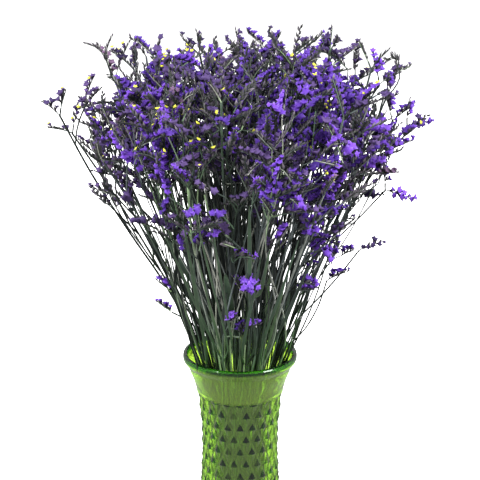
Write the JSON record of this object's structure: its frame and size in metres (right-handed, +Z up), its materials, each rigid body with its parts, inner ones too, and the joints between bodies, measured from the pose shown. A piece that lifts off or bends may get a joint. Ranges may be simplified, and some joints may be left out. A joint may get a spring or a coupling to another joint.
{
  "type": "dried statice bunch in a glass vase",
  "caption": "Fanned bunch of dried statice sprays with violet floret spikes, standing in a waisted green glass vase with a diamond-cut wall.",
  "frame": {"origin": "middle of the vase's flat base, on the surface it stands on", "axes": "+Z up along the vase's axis, -Y towards the picture's viewer, +X to the viewer's right"},
  "size_m": [0.3704, 0.3286, 0.562],
  "materials": {
    "green_glass": "clear pressed glass, tinted green",
    "statice": "dry papery violet florets on matt grey-green stalks"
  },
  "bodies": {
    "root": {"vase": "green_glass", "spray_01": "statice", "spray_02": "statice", "spray_03": "statice", "spray_04": "statice", "spray_05": "statice", "spray_06": "statice", "spray_07": "statice", "spray_08": "statice", "spray_09": "statice", "spray_10": "statice", "spray_11": "statice", "spray_12": "statice", "spray_13": "statice", "spray_14": "statice", "spray_15": "statice", "spray_16": "statice", "spray_17": "statice", "spray_18": "statice", "spray_19": "statice", "spray_20": "statice", "spray_21": "statice", "spray_22": "statice", "spray_23": "statice", "spray_24": "statice", "spray_25": "statice", "spray_26": "statice", "spray_27": "statice", "spray_28": "statice", "spray_29": "statice", "spray_30": "statice", "spray_31": "statice", "spray_32": "statice", "spray_33": "statice", "spray_34": "statice", "spray_35": "statice", "spray_36": "statice"}
  },
  "joints": []
}
